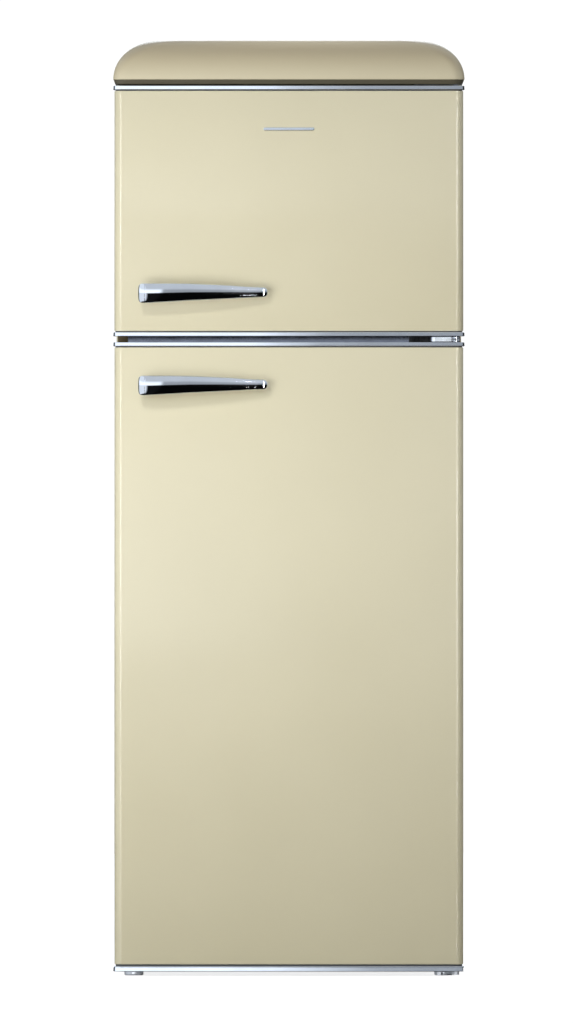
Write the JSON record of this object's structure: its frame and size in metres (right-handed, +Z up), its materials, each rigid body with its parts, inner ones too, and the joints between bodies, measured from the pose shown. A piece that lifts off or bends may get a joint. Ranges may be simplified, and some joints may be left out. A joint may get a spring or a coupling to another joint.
{
  "type": "retro two-door refrigerator with top freezer",
  "caption": "Tall cream retro refrigerator with a domed top, an upper freezer door, a taller lower door, chrome trims and tapered chrome bar handles.",
  "frame": {"origin": "on the floor, below the centre of the overall bounding box", "axes": "+Z up; the doors face -Y; +X is the hinge side, to the right of someone facing the doors"},
  "size_m": [0.55, 0.617, 1.465],
  "materials": {
    "cream_enamel": "glossy cream stove enamel on sheet steel",
    "cream_plastic": "glossy cream moulded plastic matching the enamel",
    "galvanised_steel": "plain galvanised sheet, slightly matt",
    "black_steel": "satin black paint",
    "insulating_foam": "rigid foamed-in-place insulation, matt and porous",
    "white_plastic": "satin white thermoformed or moulded plastic",
    "hinge_steel": "bright zinc-plated steel",
    "rubber": "soft grey sealing rubber",
    "black_plastic": "matt black moulded plastic",
    "copper": "drawn copper tube, lightly tarnished",
    "plate_aluminium": "roll-bonded aluminium plate",
    "lamp_glass": "opal lamp glass",
    "clear_plastic": "clear moulded plastic",
    "shelf_glass": "clear toughened glass with a green edge",
    "white_wire": "white coated steel rod",
    "foot_steel": "zinc-plated steel",
    "chromed_plastic": "bright chrome plating on plastic",
    "chrome": "mirror chrome plating on a die casting"
  },
  "bodies": {
    "cabinet": {"outer_case": "cream_enamel", "back_panel": "galvanised_steel", "base_plate": "galvanised_steel", "compressor_mount": "black_steel", "cabinet_insulation": "insulating_foam", "freezer_liner": "white_plastic", "fridge_liner": "white_plastic", "centre_rail": "galvanised_steel", "hinge_hole_cover": "cream_plastic", "top_cap": "cream_plastic", "top_hinge_bracket": "hinge_steel", "middle_hinge_bracket": "hinge_steel", "bottom_hinge_bracket": "hinge_steel", "hinge_pins": "hinge_steel", "hinge_screws": "hinge_steel", "compressor": "black_steel", "compressor_grommets": "rubber", "terminal_cover": "black_plastic", "refrigerant_tubes": "copper", "condenser_coil": "black_steel", "condenser_wires": "black_steel", "condenser_standoffs": "black_plastic", "drip_tray": "black_plastic", "cord_gland": "rubber", "roller_brackets": "galvanised_steel", "evaporator_plates": "plate_aluminium", "thermostat_housing": "white_plastic", "lamp_bulb": "lamp_glass", "lamp_cover": "clear_plastic", "glass_shelves": "shelf_glass", "shelf_trims": "white_plastic", "freezer_shelf": "white_wire"},
    "freezer_door": {"freezer_door_skin": "cream_enamel", "freezer_door_insulation": "insulating_foam", "freezer_door_liner": "white_plastic", "freezer_door_gasket": "rubber", "freezer_door_top_trim": "chromed_plastic", "freezer_door_bottom_trim": "chromed_plastic", "freezer_door_handle": "chrome", "freezer_door_upper_rack": "clear_plastic", "freezer_door_lower_rack": "clear_plastic", "freezer_door_bushes": "white_plastic"},
    "fridge_door": {"fridge_door_skin": "cream_enamel", "fridge_door_insulation": "insulating_foam", "fridge_door_liner": "white_plastic", "fridge_door_gasket": "rubber", "fridge_door_top_trim": "chromed_plastic", "fridge_door_bottom_trim": "chromed_plastic", "fridge_door_handle": "chrome", "fridge_door_upper_rack": "clear_plastic", "fridge_door_middle_rack": "clear_plastic", "fridge_door_bottle_rack": "clear_plastic", "fridge_door_bushes": "white_plastic"},
    "crisper": {"crisper_drawer": "clear_plastic"},
    "thermostat_knob": {"thermostat_knob": "white_plastic"},
    "lamp_switch": {"lamp_switch": "white_plastic"},
    "rear_roller_left": {"rear_roller_left": "black_plastic"},
    "rear_roller_right": {"rear_roller_right": "black_plastic"},
    "front_foot_left": {"front_foot_left": "foot_steel"},
    "front_foot_right": {"front_foot_right": "foot_steel"}
  },
  "joints": [
    {"name": "freezer_door_hinge", "type": "hinge", "parent": "cabinet", "child": "freezer_door", "pos_m": [0.261, -0.24, 1.2], "axis": [0, 0, 1], "range_deg": [0, 125]},
    {"name": "fridge_door_hinge", "type": "hinge", "parent": "cabinet", "child": "fridge_door", "pos_m": [0.261, -0.24, 0.5], "axis": [0, 0, 1], "range_deg": [0, 125]},
    {"name": "crisper_slide", "type": "slide", "parent": "cabinet", "child": "crisper", "axis": [0, -1, 0], "range_m": [0, 0.028]},
    {"name": "thermostat_turn", "type": "hinge", "parent": "cabinet", "child": "thermostat_knob", "pos_m": [0.1897, -0.008, 0.908], "axis": [-1, 0, 0], "range_deg": [0, 270]},
    {"name": "lamp_switch_press", "type": "slide", "parent": "cabinet", "child": "lamp_switch", "axis": [0, -1, 0], "range_m": [0, 0.006]},
    {"name": "rear_roller_left_spin", "type": "hinge", "parent": "cabinet", "child": "rear_roller_left", "pos_m": [-0.225, 0.25, 0.012], "axis": [1, 0, 0], "continuous": true},
    {"name": "rear_roller_right_spin", "type": "hinge", "parent": "cabinet", "child": "rear_roller_right", "pos_m": [0.225, 0.25, 0.012], "axis": [1, 0, 0], "continuous": true},
    {"name": "front_foot_left_turn", "type": "hinge", "parent": "cabinet", "child": "front_foot_left", "pos_m": [-0.243, -0.1745, 0.02], "axis": [0, 0, 1], "continuous": true},
    {"name": "front_foot_right_turn", "type": "hinge", "parent": "cabinet", "child": "front_foot_right", "pos_m": [0.243, -0.1745, 0.02], "axis": [0, 0, 1], "continuous": true}
  ],
  "couplings": [
    {"joint": "lamp_switch_press", "follows": "fridge_door_hinge", "m_per_rad": 0.00275}
  ]
}
